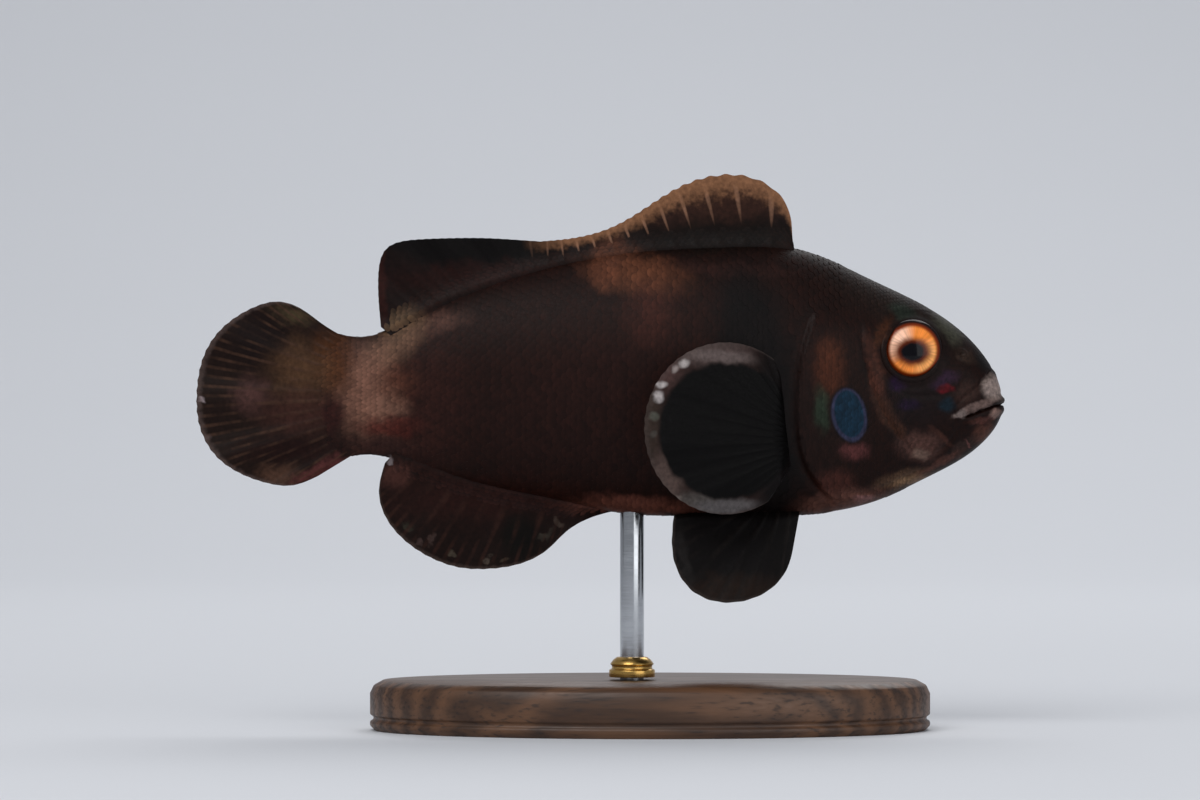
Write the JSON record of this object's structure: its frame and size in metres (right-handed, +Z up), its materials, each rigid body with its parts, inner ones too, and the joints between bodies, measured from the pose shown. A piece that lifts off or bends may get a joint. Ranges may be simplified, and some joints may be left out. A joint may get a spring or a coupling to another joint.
{
  "type": "dark clownfish model on a display stand",
  "caption": "Life-size still model of a near-black clownfish with tan patches, orange-rimmed eyes and spread fins, on an oval base with a slim rod.",
  "frame": {"origin": "on the table, under the middle of the fish's length, in its mid plane", "axes": "+X towards the snout, +Y towards the fish's left side, +Z up"},
  "size_m": [0.0808, 0.034, 0.0556],
  "materials": {
    "skin": "overlapping scales, dark chocolate to black with tan patches, wet semi-gloss",
    "fin": "ribbed fin membrane, black to red-brown with thin pale edges, semi-gloss",
    "eye": "orange iris ring round a blue-black pupil under a clear glossy cornea",
    "stand_wood": "oiled walnut, satin",
    "stand_brass": "turned and polished",
    "stand_steel": "polished rod"
  },
  "bodies": {
    "root": {"head": "skin", "upper_jaw": "skin", "lower_jaw": "skin", "gill_cover_right": "skin", "gill_cover_left": "skin", "trunk": "skin", "tail_stalk": "skin", "spiny_dorsal_fin": "fin", "soft_dorsal_fin": "fin", "anal_fin": "fin", "tail_fin": "fin", "pectoral_fin_right": "fin", "pectoral_fin_left": "fin", "pelvic_fin_right": "fin", "pelvic_fin_left": "fin", "eye_right": "eye", "eye_left": "eye", "stand_base": "stand_wood", "stand_ferrule": "stand_brass", "stand_rod": "stand_steel"}
  },
  "joints": []
}
